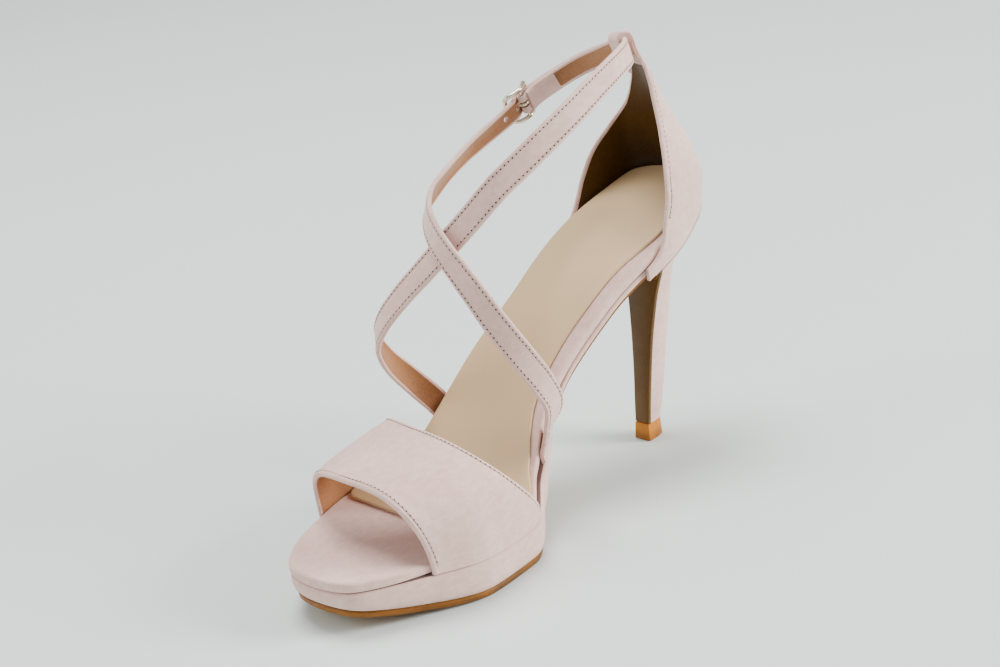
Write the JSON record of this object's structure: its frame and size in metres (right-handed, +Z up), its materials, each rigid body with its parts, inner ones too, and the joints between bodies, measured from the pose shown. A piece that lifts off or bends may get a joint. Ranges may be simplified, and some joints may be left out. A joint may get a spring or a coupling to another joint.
{
  "type": "strappy platform sandal with stiletto heel",
  "caption": "Open-toed right sandal in suede: broad vamp, crossed ankle straps with a buckle, closed heel cup, covered platform and slim high heel.",
  "frame": {"origin": "middle of the footprint of the shoe's box, on the floor", "axes": "+Z up, toe towards -Y, heel towards +Y, inner (medial) side towards +X"},
  "size_m": [0.0842, 0.2158, 0.1647],
  "materials": {
    "outsole": "smooth tan sole leather with a burnished edge",
    "platform": "pale blush suede cover",
    "insole_board": "pale blush suede wrap",
    "sock": "smooth natural leather with no lettering",
    "vamp": "pale blush suede with a brown leather lining",
    "counter": "pale blush suede with a dark brown leather lining",
    "cross_straps": "pale blush suede straps, stitched along both edges, lined with brown leather",
    "buckle_frame": "polished pale gold",
    "buckle_prong": "polished pale gold",
    "heel": "heel block covered in pale blush suede",
    "breast_cover": "olive brown sole leather down the heel's front",
    "top_piece": "tan lift"
  },
  "bodies": {
    "root": {"outsole": "outsole", "platform": "platform", "insole_board": "insole_board", "sock": "sock", "vamp": "vamp", "counter": "counter", "cross_straps": "cross_straps", "buckle_frame": "buckle_frame", "buckle_prong": "buckle_prong", "heel": "heel", "breast_cover": "breast_cover", "top_piece": "top_piece"}
  },
  "joints": []
}
